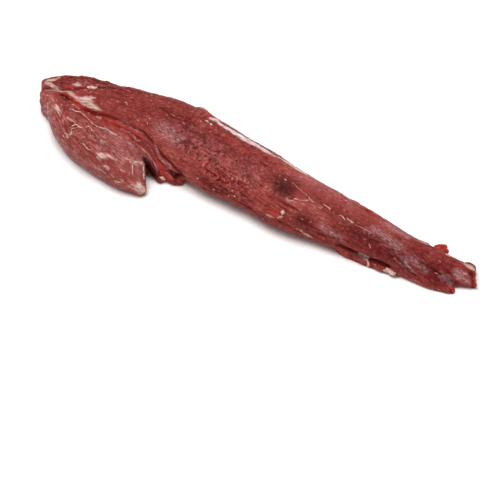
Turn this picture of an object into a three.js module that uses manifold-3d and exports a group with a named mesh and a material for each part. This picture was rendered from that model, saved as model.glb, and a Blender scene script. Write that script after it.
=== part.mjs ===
// A whole peeled beef tenderloin lying on a board with its peeled side up.
// Millimetres. +X runs from the thick head to the thin tail, +Y is the far side, +Z is up, and
// the board is the plane Z = 0. It is one piece of meat, so every muscle, flap and shred is joined
// into one solid, and its underside is pressed flat by the board.
import * as THREE from "three";
import { ParametricGeometry } from "three/addons/geometries/ParametricGeometry.js";
import { ImprovedNoise } from "three/addons/math/ImprovedNoise.js";
import { mergeVertices } from "three/addons/utils/BufferGeometryUtils.js";
import Module from "manifold-3d";

// Driving sizes
const PRESSED = 4; // how far a muscle would reach below the board if the board did not press it flat
const AXIS_SHARE = 0.5; // height of a muscle's widest line, as a share of its full height
const SQUARENESS = 2.2; // 2 is an oval section, more is boxier
const MERGE_STEP = 1e-3; // vertices nearer than this are one vertex

// The long main muscle. Each station gives its axis in plan, the height of its crown over the
// board and half its width there.
const MAIN_MUSCLE = [
  { x: -278, y: 8, crown: 29, half: 5 },
  { x: -262, y: 9, crown: 34, half: 7 },
  { x: -242, y: 13, crown: 43, half: 13 },
  { x: -216, y: 15, crown: 53, half: 24 },
  { x: -186, y: 17, crown: 61, half: 31 },
  { x: -151, y: 20, crown: 64, half: 36 },
  { x: -116, y: 23, crown: 63, half: 41 },
  { x: -81, y: 23, crown: 59, half: 43 },
  { x: -32, y: 16, crown: 55, half: 42 },
  { x: 18, y: 11, crown: 53, half: 38 },
  { x: 68, y: 4, crown: 50, half: 36 },
  { x: 118, y: 4, crown: 46, half: 30 },
  { x: 168, y: 3, crown: 39, half: 25 },
  { x: 218, y: 3, crown: 31, half: 21 },
  { x: 246, y: 7, crown: 25, half: 18 },
  { x: 268, y: 14, crown: 19, half: 14 },
  { x: 294, y: 20, crown: 13, half: 10 },
];

// The side muscle, a wedge along the near side of the head whose thin end is cut off square.
const SIDE_MUSCLE = [
  { x: -284, y: 6, crown: 27, half: 4 },
  { x: -266, y: 1, crown: 35, half: 7 },
  { x: -246, y: -7, crown: 43, half: 12 },
  { x: -218, y: -23, crown: 49, half: 18 },
  { x: -186, y: -34, crown: 50, half: 22 },
  { x: -156, y: -40, crown: 49, half: 24 },
  { x: -126, y: -42, crown: 43, half: 24 },
  { x: -104, y: -42, crown: 34, half: 20 },
  { x: -88, y: -44, crown: 27, half: 14 },
];

// The seam band in the valley between the two: an outer and an inner bundle of strands, which
// hang out at the end as the two legs of a nub.
const OUTER_STRAND = [
  { x: -258, y: 3, crown: 38, floor: 0, half: 6 },
  { x: -218, y: -10, crown: 47, half: 10 },
  { x: -183, y: -17, crown: 47, half: 11 },
  { x: -148, y: -17, crown: 43, half: 11 },
  { x: -120, y: -17, crown: 37, floor: 2, half: 9 },
  { x: -104, y: -19, crown: 31, floor: 2, half: 7 },
  { x: -93, y: -22, crown: 22, floor: 0, half: 6 },
  { x: -86, y: -24, crown: 12, half: 5 },
];
const INNER_STRAND = [
  { x: -218, y: -4, crown: 47, half: 6 },
  { x: -178, y: -9, crown: 47, half: 7 },
  { x: -138, y: -9, crown: 42, half: 8 },
  { x: -108, y: -10, crown: 35, floor: 0, half: 8 },
  { x: -89, y: -14, crown: 24, floor: 0, half: 8 },
  { x: -76, y: -14, crown: 14, half: 8 },
  { x: -66, y: -11, crown: 9, half: 6 },
];

// The strip of meat along the far side of the head, a step lower than the main muscle.
const FAR_STRIP = [
  { x: -288, y: 18, crown: 31, half: 8 },
  { x: -266, y: 27, crown: 39, half: 13 },
  { x: -240, y: 34, crown: 45, half: 15 },
  { x: -210, y: 41, crown: 46, half: 14 },
  { x: -176, y: 46, crown: 44, half: 12 },
  { x: -146, y: 50, crown: 40, half: 10 },
  { x: -108, y: 52, crown: 30, half: 5 },
];

// The lower half of the split tail.
const TAIL_FORK = [
  { x: 180, y: -6, crown: 24, half: 10 },
  { x: 210, y: -9, crown: 23, half: 11 },
  { x: 238, y: -10, crown: 17, half: 9 },
  { x: 256, y: -9, crown: 10, half: 6 },
  { x: 269, y: -8, crown: 5, half: 3 },
];

// What is left of the chain, a thin roll under the near side close to the tail, and the shadow
// groove between it and the main muscle.
const CHAIN_ROLL = [
  { x: 130, y: -15, crown: 10, half: 5 },
  { x: 146, y: -15, crown: 14, half: 8 },
  { x: 174, y: -15, crown: 13, half: 8 },
  { x: 196, y: -14, crown: 12, half: 8 },
  { x: 210, y: -14, crown: 9, half: 5 },
];
const CHAIN_GROOVE = [
  { x: 130, y: -29, crown: 16, floor: 11, half: 5 },
  { x: 150, y: -28, crown: 20, floor: 14, half: 8 },
  { x: 178, y: -26, crown: 18, floor: 13, half: 7 },
  { x: 204, y: -22, crown: 14, floor: 10, half: 4 },
];

// Shallow seams pressed into the underside, one under the valley and one under the chain side.
const UNDER_SEAMS = [
  [
    { x: -232, y: 0, crown: 2, half: 3 },
    { x: -186, y: -8, crown: 5, half: 5 },
    { x: -116, y: -12, crown: 6, half: 6 },
    { x: -80, y: -4, crown: 2, half: 3 },
  ],
  [
    { x: -56, y: 10, crown: 2, half: 3 },
    { x: 24, y: 2, crown: 5, half: 5 },
    { x: 124, y: -4, crown: 4, half: 4 },
    { x: 184, y: -5, crown: 2, half: 3 },
  ],
];

// Small shreds and knobs that stand out from the outline: middle, half sizes and turn in plan.
const SHREDS = [
  { at: [-271, 3, 20], half: [4, 5, 6], turn: 0 },
  { at: [-80, 59, 41], half: [12, 5, 5], turn: -12 },
  { at: [128, 28, 29], half: [12, 5, 5], turn: -8 },
  { at: [238, 26, 12], half: [10, 12, 7], turn: -15 },
  { at: [202, -16, 6], half: [8, 6, 6], turn: 15 },
  { at: [80, -20, 12], half: [14, 6, 6], turn: 4 },
  { at: [268, 25, 7], half: [9, 8, 6], turn: -40 },
  { at: [278, 12, 4], half: [9, 5, 4], turn: -20 },
  { at: [260, -10, 4], half: [9, 4, 4], turn: 10 },
];

// The knife cuts: the butt end, the square end of the side muscle, the bevel above it and the tail.
const BUTT_CUT = { point: [-280, 16, 0], normal: [-0.857, -0.515, 0] };
const SIDE_END_CUT = { point: [-102, -36, 0], normal: [0.82, 0.57, 0] };
const SIDE_BEVEL_CUT = { point: [-108, -39, 34], normal: [0.74, -0.25, 0.63] };
const TAIL_CUT = { point: [281, 16, 0], normal: [0.82, 0.57, 0] };

// Relief of the meat's surface: broad lumps, furrows along the grain, and the torn middle where
// the silverskin took some meat with it.
const LUMP = { height: 1.8, length: 46 };
const FURROW = { height: 0.8, width: 24, fade: 60 };
const TORN = { height: 2.2, size: 16, from: -86, to: 34, fade: 25 };

const wasm = await Module();
wasm.setup();
const noise = new ImprovedNoise();

// A closed geometry as a solid, once its seam and poles are merged and its collapsed faces dropped.
function solidOf(geometry) {
  const bare = new THREE.BufferGeometry();
  bare.setAttribute("position", geometry.getAttribute("position"));
  bare.setIndex(geometry.getIndex());
  const merged = mergeVertices(bare, MERGE_STEP);
  const index = merged.getIndex().array;
  const faces = [];
  for (let i = 0; i < index.length; i += 3) {
    const [a, b, c] = index.slice(i, i + 3);
    if (a !== b && b !== c && c !== a) faces.push(a, b, c);
  }
  return new wasm.Manifold(
    new wasm.Mesh({
      numProp: 3,
      vertProperties: merged.getAttribute("position").array,
      triVerts: new Uint32Array(faces),
    }),
  );
}

// A number's power that keeps its sign.
function signedPower(value, power) {
  return Math.sign(value) * Math.abs(value) ** power;
}

// 1 between two places and 0 outside them, with soft ends.
function window(value, from, to, fade) {
  const { smoothstep } = THREE.MathUtils;
  return smoothstep(value, from - fade, from) * (1 - smoothstep(value, to, to + fade));
}

// How far the surface stands out at a place: x along the muscle, girth around it, both in mm.
function meatRelief(x, girth) {
  const lumps = LUMP.height * noise.noise(x / LUMP.length, girth / (0.6 * LUMP.length), 4.5);
  const wander = 3 * noise.noise(x / FURROW.fade, girth / FURROW.fade, 9.5);
  const furrows = FURROW.height * Math.cos((2 * Math.PI * girth) / FURROW.width + wander);
  const torn = TORN.height * noise.noise(x / TORN.size, girth / TORN.size, 1.5);
  return lumps + furrows + torn * window(x, TORN.from, TORN.to, TORN.fade);
}

// A muscle: upright oval sections carried along a smooth axis through its stations, widest at
// AXIS_SHARE of their height and closed by rounded ends, with rough = 1 for the full relief.
function muscle(stations, { around, along, ends = 0.06, rough = 0 }) {
  const floorOf = (s) => s.floor ?? -PRESSED;
  const heightOf = (s) => s.crown - floorOf(s);
  const axisPoints = stations.map(
    (s) => new THREE.Vector3(s.x, s.y, floorOf(s) + AXIS_SHARE * heightOf(s)),
  );
  const axis = new THREE.CatmullRomCurve3(axisPoints, false, "catmullrom");
  const sizePoints = stations.map((s) => new THREE.Vector3(s.half, heightOf(s), 0));
  const sizes = new THREE.CatmullRomCurve3(sizePoints, false, "catmullrom");
  const centre = new THREE.Vector3();
  const size = new THREE.Vector3();
  const heading = new THREE.Vector3();
  const surface = (u, v, target) => {
    const turn = 2 * Math.PI * u;
    const t = THREE.MathUtils.clamp(v - Math.sin(2 * Math.PI * v) / (4 * Math.PI), 0, 1);
    const fromEnd = Math.min(1, Math.min(t, 1 - t) / ends);
    const rounding = Math.sqrt(Math.max(0, 1 - (1 - fromEnd) ** 2));
    axis.getPoint(t, centre);
    sizes.getPoint(t, size);
    axis.getTangent(t, heading);
    heading.setZ(0).normalize();
    const girth = size.x * (turn > Math.PI ? turn - 2 * Math.PI : turn);
    const lift = rough * rounding * meatRelief(centre.x, girth);
    const side = rounding * size.x * signedPower(Math.cos(turn), 2 / SQUARENESS);
    const rise = rounding * size.y * signedPower(Math.sin(turn), 2 / SQUARENESS);
    const out = side + lift * Math.cos(turn);
    target.set(
      centre.x - heading.y * out,
      centre.y + heading.x * out,
      centre.z + rise * (rise > 0 ? 1 - AXIS_SHARE : AXIS_SHARE) + lift * Math.sin(turn),
    );
  };
  return solidOf(new ParametricGeometry(surface, around, along));
}

// A shred of meat, an oval lump turned in plan.
function shred({ at, half, turn }) {
  const lump = new THREE.SphereGeometry(1, 12, 8);
  lump.scale(...half);
  lump.rotateZ(THREE.MathUtils.degToRad(turn));
  lump.translate(...at);
  return solidOf(lump);
}

// Everything on the outer side of a knife cut, as a large box turned to the cut's normal.
function beyond({ point, normal }) {
  const reach = 800;
  const box = new THREE.BoxGeometry(reach, reach, reach);
  box.translate(0, 0, reach / 2);
  const outward = new THREE.Vector3(...normal).normalize();
  box.applyQuaternion(new THREE.Quaternion().setFromUnitVectors(new THREE.Vector3(0, 0, 1), outward));
  box.translate(...point);
  return solidOf(box);
}

// A geometry for the finished solid.
function geometryOf(solid) {
  const mesh = solid.getMesh();
  const geometry = new THREE.BufferGeometry();
  geometry.setAttribute("position", new THREE.Float32BufferAttribute(mesh.vertProperties, 3));
  geometry.setIndex([...mesh.triVerts]);
  geometry.computeVertexNormals();
  return geometry;
}

const main = muscle(MAIN_MUSCLE, { around: 40, along: 100, ends: 0.03, rough: 1 });
const side = muscle(SIDE_MUSCLE, { around: 30, along: 36, ends: 0.05, rough: 0.6 })
  .subtract(beyond(SIDE_END_CUT))
  .subtract(beyond(SIDE_BEVEL_CUT));
const muscles = [
  main,
  side,
  muscle(OUTER_STRAND, { around: 14, along: 36 }),
  muscle(INNER_STRAND, { around: 14, along: 34 }),
  muscle(FAR_STRIP, { around: 18, along: 22, rough: 0.5 }),
  muscle(TAIL_FORK, { around: 14, along: 14 }),
];
const board = beyond({ point: [0, 0, 0], normal: [0, 0, -1] });

let whole = muscles.reduce((sum, piece) => sum.add(piece));
for (const cut of [BUTT_CUT, TAIL_CUT]) whole = whole.subtract(beyond(cut));
whole = whole.subtract(muscle(CHAIN_GROOVE, { around: 10, along: 12 }));
whole = whole.add(muscle(CHAIN_ROLL, { around: 12, along: 16 }));
for (const piece of SHREDS.map(shred)) whole = whole.add(piece);
for (const seam of UNDER_SEAMS) whole = whole.subtract(muscle(seam, { around: 10, along: 14 }));
whole = whole.subtract(board);

const meat = new THREE.MeshStandardMaterial({ color: 0x8e3c3c, roughness: 0.45, metalness: 0 });
const tenderloin = new THREE.Mesh(geometryOf(whole), meat);
tenderloin.name = "tenderloin";

const part = new THREE.Group();
part.add(tenderloin);

export default part;
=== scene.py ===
import bpy
import numpy as np
from mathutils import Matrix, Vector


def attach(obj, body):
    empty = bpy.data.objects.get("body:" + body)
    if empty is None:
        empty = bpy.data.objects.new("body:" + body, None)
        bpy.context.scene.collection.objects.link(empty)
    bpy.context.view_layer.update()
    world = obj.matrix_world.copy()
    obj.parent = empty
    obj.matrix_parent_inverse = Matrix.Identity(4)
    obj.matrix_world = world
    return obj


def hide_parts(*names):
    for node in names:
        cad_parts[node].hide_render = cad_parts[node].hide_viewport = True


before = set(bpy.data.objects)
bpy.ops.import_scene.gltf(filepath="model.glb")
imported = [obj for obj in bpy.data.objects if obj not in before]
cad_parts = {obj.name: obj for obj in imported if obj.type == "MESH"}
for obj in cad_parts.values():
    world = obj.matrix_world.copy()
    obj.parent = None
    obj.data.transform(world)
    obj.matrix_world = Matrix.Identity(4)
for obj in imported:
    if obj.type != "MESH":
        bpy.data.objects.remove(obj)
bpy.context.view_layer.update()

# The muscles.
# Raw lean beef: bundles of fibre in thin sheaths, laid bare by a knife that took off the fat and
# the silverskin. Each row is a place along a muscle in millimetres: its middle in plan, the floor
# and the crown of its section, and half its width.
MM = 0.001
PRESSED = -4  # a muscle that rests on the floor would reach this low if it were not pressed flat
SQUARENESS = 2.2  # 2 is an oval section, more is boxier

MAIN_MUSCLE = np.array([
    (-278, 8, PRESSED, 29, 5),
    (-262, 9, PRESSED, 34, 7),
    (-242, 13, PRESSED, 43, 13),
    (-216, 15, PRESSED, 53, 24),
    (-186, 17, PRESSED, 61, 31),
    (-151, 20, PRESSED, 64, 36),
    (-116, 23, PRESSED, 63, 41),
    (-81, 24, PRESSED, 59, 42),
    (-32, 17, PRESSED, 55, 41),
    (18, 11, PRESSED, 53, 38),
    (68, 4, PRESSED, 50, 36),
    (118, 4, PRESSED, 46, 30),
    (168, 3, PRESSED, 39, 25),
    (218, 3, PRESSED, 31, 21),
    (246, 7, PRESSED, 25, 18),
    (268, 14, PRESSED, 19, 14),
    (294, 20, PRESSED, 13, 10),
])
SIDE_MUSCLE = np.array([
    (-284, 7, PRESSED, 27, 3.5),
    (-266, 3.5, PRESSED, 35, 5),
    (-246, -4.5, PRESSED, 43, 9),
    (-218, -21.5, PRESSED, 49, 16),
    (-186, -33, PRESSED, 50, 20.5),
    (-156, -39, PRESSED, 49, 22.5),
    (-126, -41.5, PRESSED, 43, 23),
    (-104, -42, PRESSED, 34, 20),
    (-88, -44, PRESSED, 27, 14),
])
OUTER_STRAND = np.array([
    (-258, 3, 0, 38, 6),
    (-218, -10, PRESSED, 47, 10),
    (-183, -17, PRESSED, 47, 11),
    (-148, -17, PRESSED, 43, 11),
    (-120, -17, 2, 37, 9),
    (-104, -19, 2, 31, 7),
    (-93, -22, 0, 22, 6),
    (-86, -24, PRESSED, 12, 5),
])
INNER_STRAND = np.array([
    (-218, -4, PRESSED, 47, 6),
    (-178, -9, PRESSED, 47, 7),
    (-138, -9, PRESSED, 42, 8),
    (-108, -10, 0, 35, 8),
    (-89, -14, 0, 24, 8),
    (-76, -14, PRESSED, 14, 8),
    (-66, -11, PRESSED, 9, 6),
])
FAR_STRIP = np.array([
    (-288, 18, PRESSED, 31, 8),
    (-266, 27, PRESSED, 39, 13),
    (-240, 34, PRESSED, 45, 15),
    (-210, 41, PRESSED, 46, 14),
    (-176, 46, PRESSED, 44, 12),
    (-146, 50, PRESSED, 40, 10),
    (-108, 52, PRESSED, 30, 5),
])
TAIL_FORK = np.array([
    (180, -6, PRESSED, 24, 10),
    (210, -8.5, PRESSED, 23, 10),
    (238, -10, PRESSED, 17, 9),
    (256, -9, PRESSED, 10, 6),
    (269, -8, PRESSED, 5, 3),
])
CHAIN_ROLL = np.array([
    (130, -15, PRESSED, 10, 5),
    (146, -15, PRESSED, 14, 8),
    (174, -15, PRESSED, 13, 8),
    (196, -13.5, PRESSED, 12, 7),
    (210, -13, PRESSED, 9, 4),
])


def flow(rows, places):
    """Rows at places from 0 to 1 along a table. Between two rows runs a Catmull-Rom cubic, whose
    slope at a row is half the difference between the rows on its two sides."""
    outer = 2 * rows[[0, -1]] - rows[[1, -2]]
    padded = np.vstack([outer[:1], rows, outer[1:]])
    place = places * (len(rows) - 1)
    row = np.minimum(place.astype(int), len(rows) - 2)
    w = (place - row)[:, None]
    before, start, end, after = (padded[row + k] for k in range(4))
    cubic = 3 * (start - end) + after - before
    square = 2 * before - 5 * start + 4 * end - after
    return start + 0.5 * w * (end - before + w * (square + w * cubic))


def signed_power(value, power):
    """The power of a value's size, with the value's sign."""
    return np.sign(value) * np.abs(value) ** power


def closed_form(rings):
    """A grid of rings as points and faces. Each ring is joined to itself and to the next by
    four-sided faces, and the first and the last ring have shrunk to one point each, joined to their
    neighbours by triangles, which are kept with their last corner twice."""
    count, around, columns = rings.shape
    points = np.vstack([rings[1:-1].reshape(-1, columns), rings[0, :1], rings[-1, :1]])
    corner = np.arange((count - 2) * around).reshape(count - 2, around)
    turned = np.roll(corner, -1, axis=1)
    walls = np.stack([corner[:-1], turned[:-1], turned[1:], corner[1:]], axis=-1).reshape(-1, 4)
    first, last = np.full(around, len(points) - 2), np.full(around, len(points) - 1)
    caps = np.vstack([
        np.stack([turned[0], corner[0], first, first], axis=-1),
        np.stack([corner[-1], turned[-1], last, last], axis=-1),
    ])
    return points, np.vstack([walls, caps])


def joined(forms):
    """Several forms as one list of points and one of faces."""
    starts = np.cumsum([0] + [len(points) for points, _ in forms])
    faces = [faces + start for (_, faces), start in zip(forms, starts)]
    return np.vstack([points for points, _ in forms]), np.vstack(faces)


def muscle(rows, ends=0.06, around=72, along=260):
    """Upright oval sections along a table's run, as (along, around): cosine and sine of the turn,
    each to the power 2 / SQUARENESS, times half the width and half the height, shrunk at the ends
    as a quarter circle is."""
    v = np.linspace(0, 1, along)
    places = v - np.sin(2 * np.pi * v) / (4 * np.pi)
    x, y, floor, crown, half = flow(rows, places).T
    from_end = np.minimum(1, np.minimum(places, 1 - places) / ends)
    rounding = np.sqrt(1 - (1 - from_end) ** 2)
    heading = np.stack([np.gradient(x), np.gradient(y)])
    heading /= np.linalg.norm(heading, axis=0)
    turn = np.linspace(0, 2 * np.pi, around, endpoint=False)
    out = np.outer(rounding * half, signed_power(np.cos(turn), 2 / SQUARENESS))
    up = np.outer(rounding * (crown - floor) / 2, signed_power(np.sin(turn), 2 / SQUARENESS))
    middle = (floor + crown) / 2
    grid = np.stack([
        x[:, None] - heading[1][:, None] * out,
        y[:, None] + heading[0][:, None] * out,
        middle[:, None] + up,
    ], axis=-1)
    return closed_form(grid)


def pressed(points, plane_point, normal, rounding=0.001):
    """Points with those beyond a plane moved straight back by how far they are beyond it, as a
    knife or a floor would move them. Near the plane, as far as the rounding in millimetres, that
    distance is rounding * log(1 + exp(beyond / rounding)), which rounds the edge of the cut."""
    normal = np.array(normal) / np.linalg.norm(normal)
    beyond = (points - np.array(plane_point)) @ normal
    moved = rounding * np.logaddexp(0, beyond / rounding)
    return points - moved[:, None] * normal


# The shreds.
# Knobs and rags of the same meat that the knife left standing out: where, half sizes, and turn.
SHREDS = [
    ((-268, 4, 21), (4, 5, 6), 0),
    ((-80, 59, 41), (12, 5, 5), -12),
    ((127, 28, 30), (9.5, 5, 5), -8),
    ((233, 26, 13), (7.5, 10, 7), -15),
    ((202, -16, 6), (8, 6, 6), 15),
    ((80, -20, 12), (14, 6, 6), 4),
    ((268, 25, 7), (9, 8, 6), -40),
    ((278, 12, 4), (9, 5, 4), -20),
    ((260, -10, 4), (9, 4, 4), 10),
]


def shred(middle, half, degrees, around=32, along=24):
    """An oval lump: a unit sphere of latitude rings, stretched to its half sizes and turned in
    plan."""
    latitude = np.linspace(-np.pi / 2, np.pi / 2, along)[:, None]
    longitude = np.linspace(0, 2 * np.pi, around, endpoint=False)[None, :]
    ball = np.stack([
        np.cos(latitude) * np.cos(longitude),
        np.cos(latitude) * np.sin(longitude),
        np.sin(latitude) + 0 * longitude,
    ], axis=-1)
    turn = np.array(Matrix.Rotation(np.radians(degrees), 3, "Z"))
    return closed_form((ball * half) @ turn.T + middle)


# The skin of the meat.
# The muscles and shreds are one piece of meat, so their surfaces are fused into one closed skin,
# cut square at the ends as the knife cut it, and flat where the meat lies on the floor.
BUTT_CUT = ((-280, 16, 0), (-0.857, -0.515, 0))
TAIL_CUT = ((281, 16, 0), (0.82, 0.57, 0))
SIDE_END_CUT = ((-102, -36, 0), (0.82, 0.57, 0))
SIDE_BEVEL_CUT = ((-108, -39, 34), (0.74, -0.25, 0.63))
FLOOR = ((0, 0, 0), (0, 0, -1))
SKIN_STEP = 1.3  # size of the fused skin's faces

MUSCLES = [MAIN_MUSCLE, SIDE_MUSCLE, OUTER_STRAND, INNER_STRAND, FAR_STRIP, TAIL_FORK, CHAIN_ROLL]
MAIN, SIDE, OUTER, INNER = range(4)  # their numbers in that list


def object_of(name, points, faces):
    """A mesh object from points in millimetres, and faces of four corners, or of three where the
    last corner is given twice."""
    is_triangle = faces[:, 2] == faces[:, 3]
    corners = faces[~is_triangle].tolist() + faces[is_triangle][:, :3].tolist()
    mesh = bpy.data.meshes.new(name)
    mesh.from_pydata((points[:, :3] * MM).tolist(), [], corners)
    made = bpy.data.objects.new(name, mesh)
    bpy.context.scene.collection.objects.link(made)
    return made


def fused(name, forms, step):
    """Closed forms that overlap, as one object whose skin is made anew in even faces."""
    made = object_of(name, *joined(forms))
    remesh = made.modifiers.new("fuse", "REMESH")
    remesh.mode = "VOXEL"
    remesh.voxel_size = step * MM
    depsgraph = bpy.context.evaluated_depsgraph_get()
    mesh = bpy.data.meshes.new_from_object(made.evaluated_get(depsgraph))
    made.modifiers.clear()
    made.data = mesh
    return made


def points_of(mesh):
    """A mesh's points in millimetres, as one array."""
    flat = np.empty(3 * len(mesh.vertices), np.float32)
    mesh.vertices.foreach_get("co", flat)
    return flat.reshape(-1, 3).astype(float) / MM


def normals_of(mesh):
    """A mesh's unit normal at each point, as one array."""
    flat = np.empty(3 * len(mesh.vertices), np.float32)
    mesh.vertex_normals.foreach_get("vector", flat)
    return flat.reshape(-1, 3).astype(float)


def relaxed(mesh, points, rounds, share):
    """Points moved towards the mean of their neighbours by a share of the way, several times."""
    ends = np.empty(2 * len(mesh.edges), np.int32)
    mesh.edges.foreach_get("vertices", ends)
    near, far = ends.reshape(-1, 2).T
    both, other = np.concatenate([near, far]), np.concatenate([far, near])
    count = np.bincount(both, minlength=len(points))
    for _ in range(rounds):
        mean = np.stack([
            np.bincount(both, weights=points[other, axis], minlength=len(points)) / count
            for axis in range(3)
        ], axis=-1)
        points = points + share * (mean - points)
    return points


def move_points(mesh, points):
    """Gives a mesh new places for its points, which are in millimetres."""
    mesh.vertices.foreach_set("co", (points * MM).astype(np.float32).ravel())
    mesh.update()


def shade_smooth(mesh):
    """Lets the light run over a mesh's faces without a break."""
    mesh.polygons.foreach_set("use_smooth", np.ones(len(mesh.polygons), bool))


forms = [muscle(rows) for rows in MUSCLES]
forms[MAIN] = muscle(MAIN_MUSCLE, ends=0.03, around=96, along=420)
side_points, side_faces = forms[SIDE]
side_points = pressed(side_points, *SIDE_BEVEL_CUT, rounding=0.8)
side_points = pressed(side_points, *SIDE_END_CUT, rounding=2.5)
forms[SIDE] = (side_points, side_faces)
forms = [(pressed(points, *BUTT_CUT, rounding=1.5), faces) for points, faces in forms]
forms = [(pressed(points, *TAIL_CUT, rounding=1.5), faces) for points, faces in forms]
forms += [shred(*row) for row in SHREDS]
forms = [(pressed(points, *FLOOR), faces) for points, faces in forms]

skin = fused("meat_skin", forms, SKIN_STEP)
skin_points = relaxed(skin.data, points_of(skin.data), rounds=4, share=0.5)
skin_points[:, 2] = np.maximum(0, skin_points[:, 2])
move_points(skin.data, skin_points)

# The lie of the fibres.
# Each point of the skin belongs to the muscle whose surface it is nearest to, and has a place in
# it: x along it, and a girth, in millimetres round from its crown line to the far side.
LEAN = 0.1  # millimetres that a fibre runs round for each millimetre along
APART = 7.3  # puts the patterns of two muscles on different parts of the noise
FACING_DOWN = -0.6  # the upward part of a normal where the skin is the underside
LAID_ON_TOP = 100  # keeps the seam band's strands off the underside, in millimetres


def place_in(rows, points):
    """The turn of each point about a muscle's run, half the muscle's width there, and how many
    millimetres the point is off the muscle's surface."""
    x, y, floor, crown, half = flow(rows, np.linspace(0, 1, 400)).T
    at = points[:, 0]
    y, floor, crown, half = (np.interp(at, x, value) for value in (y, floor, crown, half))
    across = (points[:, 1] - y) / half
    upward = (points[:, 2] - (floor + crown) / 2) / ((crown - floor) / 2)
    reach = (np.abs(across) ** SQUARENESS + np.abs(upward) ** SQUARENESS) ** (1 / SQUARENESS)
    past_ends = np.maximum(0, np.maximum(x[0] - at, at - x[-1]))
    return np.arctan2(across, upward), half, np.abs(reach - 1) * half + past_ends


places = [place_in(rows, skin_points) for rows in MUSCLES]
off_surface = np.array([off for _, _, off in places])
off_surface[[OUTER, INNER]] += LAID_ON_TOP * (normals_of(skin.data)[:, 2] < FACING_DOWN)
belongs = np.argmin(off_surface, axis=0)
turn = np.choose(belongs, [turn for turn, _, _ in places])
half_width = np.choose(belongs, [half for _, half, _ in places])
along = skin_points[:, 0]
girth = half_width * turn


def noise(points, seed):
    """Gradient noise from about -1 to 1: a random slope at each whole-number corner, blended
    between the eight corners round a point by the curve 6t^5 - 15t^4 + 10t^3."""
    rng = np.random.default_rng(seed)
    slopes = rng.normal(size=(256, 3))
    slopes /= np.linalg.norm(slopes, axis=1, keepdims=True)
    order = rng.permutation(256)
    cell = np.floor(points).astype(int)
    within = points - cell
    fade = within**3 * (within * (within * 6 - 15) + 10)
    total = np.zeros(len(points))
    for corner in np.ndindex(2, 2, 2):
        at = (cell + corner) & 255
        pick = order[(order[(order[at[:, 0]] + at[:, 1]) & 255] + at[:, 2]) & 255]
        weight = np.prod(np.where(corner, fade, 1 - fade), axis=1)
        total += weight * np.sum(slopes[pick] * (within - corner), axis=1)
    return 1.6 * total


def grain_noise(length, width, seed):
    """Noise on the muscles' own lines, stretched to a length along the fibres in millimetres."""
    lines = np.stack([along / length, (girth + LEAN * along) / width, APART * belongs], axis=-1)
    return noise(lines, seed)


def window(value, low, high, fade):
    """1 between two values and 0 outside them, with a smooth rise and fall as wide as fade."""
    rise = np.clip((value - low) / fade + 1, 0, 1)
    fall = np.clip((high - value) / fade + 1, 0, 1)
    edge = np.minimum(rise, fall)
    return edge * edge * (3 - 2 * edge)


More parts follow.
